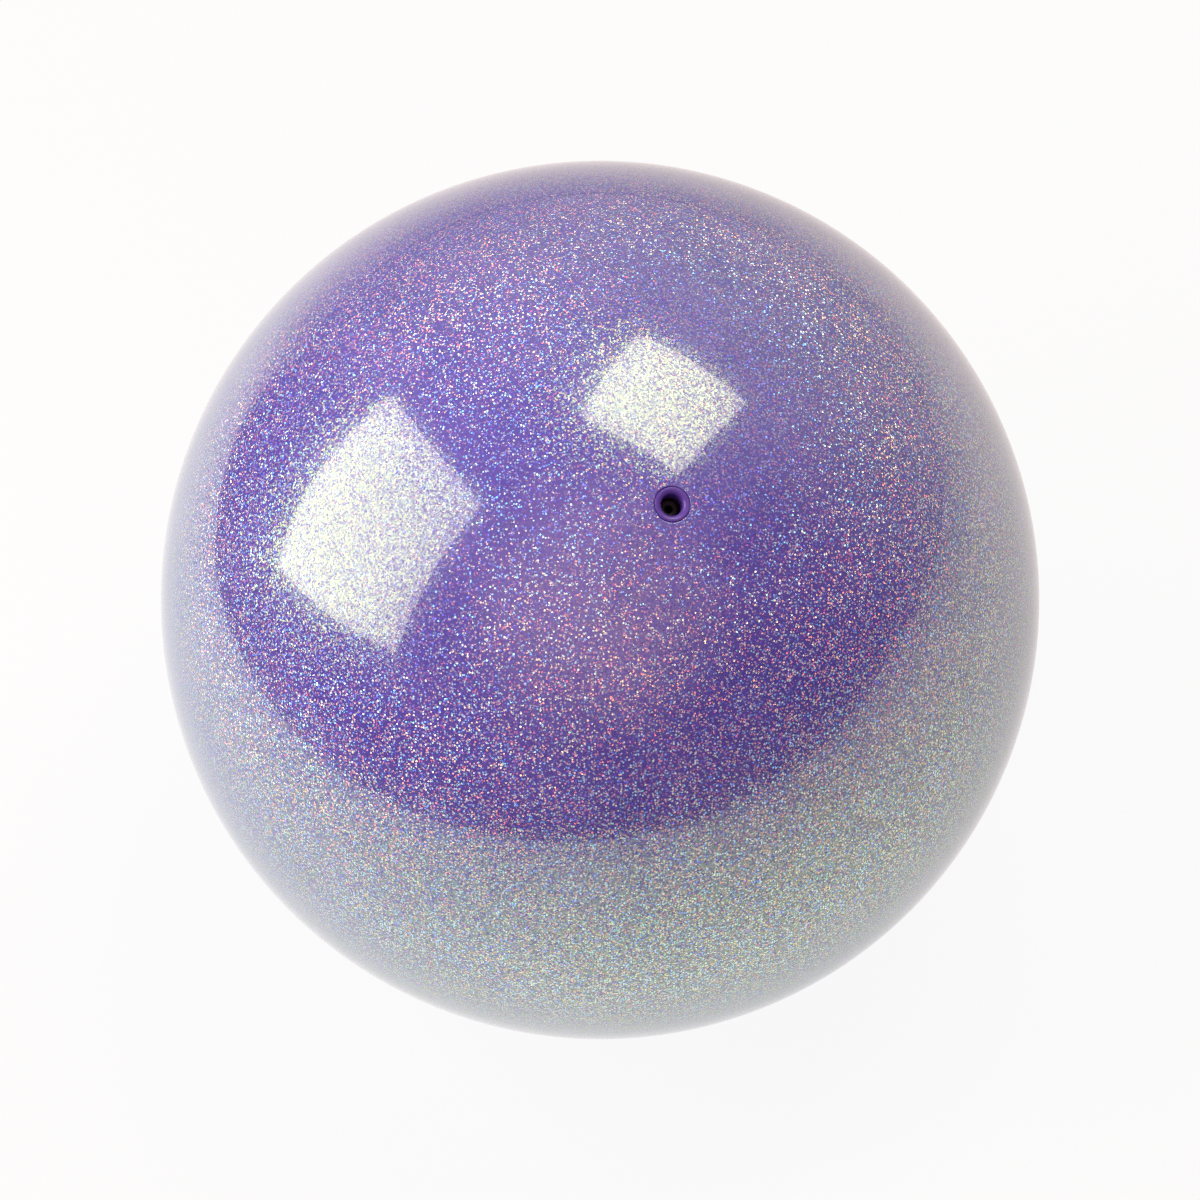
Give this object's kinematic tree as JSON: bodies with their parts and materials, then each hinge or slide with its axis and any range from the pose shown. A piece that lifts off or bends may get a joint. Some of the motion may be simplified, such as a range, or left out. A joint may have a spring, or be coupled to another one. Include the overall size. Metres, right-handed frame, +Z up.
{
  "type": "rhythmic gymnastics ball",
  "caption": "Inflated hand ball for rhythmic gymnastics: hollow violet wall, glossy holographic glitter skin and a recessed valve with a pull-out rubber plug.",
  "frame": {"origin": "middle of the flat patch that the ball rests on, below the ball's centre", "axes": "+Z up from the floor through the ball's centre, -Y towards the viewer, with the valve high on the front and a little to +X"},
  "size_m": [0.1848, 0.1848, 0.1845],
  "materials": {
    "glitter_skin": "glossy clear skin full of fine holographic flakes over violet",
    "violet_body": "smooth satin",
    "seat_rubber": "matt",
    "plug_rubber": "matt"
  },
  "bodies": {
    "ball": {"glitter_skin": "glitter_skin", "ball_body": "violet_body", "valve_seat": "seat_rubber"},
    "valve_plug": {"valve_plug": "plug_rubber"}
  },
  "joints": [
    {"name": "valve_plug_pull", "type": "slide", "parent": "ball", "child": "valve_plug", "axis": [0.1628, -0.4728, 0.866], "range_m": [0, 0.02]}
  ]
}
